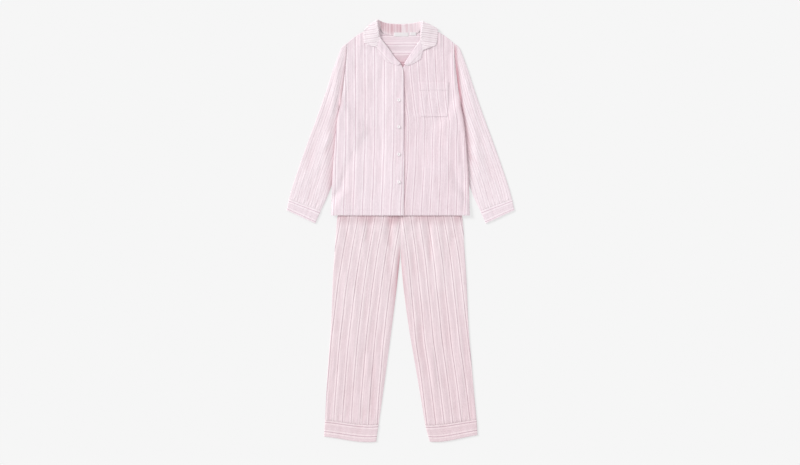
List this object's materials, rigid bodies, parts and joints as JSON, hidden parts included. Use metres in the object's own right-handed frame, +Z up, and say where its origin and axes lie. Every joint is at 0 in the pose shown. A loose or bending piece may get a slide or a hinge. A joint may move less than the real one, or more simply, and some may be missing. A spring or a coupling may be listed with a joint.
{
  "type": "pyjama set",
  "caption": "Striped pyjama shirt with a notched collar, button front and chest pocket, its hem laid over matching straight trousers, all flat.",
  "frame": {"origin": "under the middle of the laid-out set, on the surface it lies on", "axes": "+X to the viewer's right (the wearer's left), +Y from the trouser cuffs to the collar, +Z up from the surface"},
  "size_m": [0.798, 1.4769, 0.0168],
  "materials": {
    "shirt_cloth": "soft matt cotton, pale pink with white and deeper pink stripes",
    "facing": "the inner side of the striped cotton, paler",
    "trouser_cloth": "soft matt cotton, pale pink with white and deeper pink stripes",
    "button": "pearly white, polished",
    "label": "smooth white ribbon, bare"
  },
  "bodies": {
    "root": {"back_yoke": "shirt_cloth", "shirt_back": "shirt_cloth", "front_left": "shirt_cloth", "front_right": "shirt_cloth", "collar": "shirt_cloth", "pocket": "shirt_cloth", "pocket_hem": "shirt_cloth", "sleeve_left": "shirt_cloth", "sleeve_right": "shirt_cloth", "sleeve_cuff_left": "shirt_cloth", "sleeve_cuff_right": "shirt_cloth", "lapel_left": "facing", "lapel_right": "facing", "leg_left": "trouser_cloth", "leg_right": "trouser_cloth", "leg_cuff_left": "trouser_cloth", "leg_cuff_right": "trouser_cloth", "waistband": "trouser_cloth", "button_1": "button", "button_2": "button", "button_3": "button", "button_4": "button", "neck_label": "label", "size_tag": "label"}
  },
  "joints": []
}
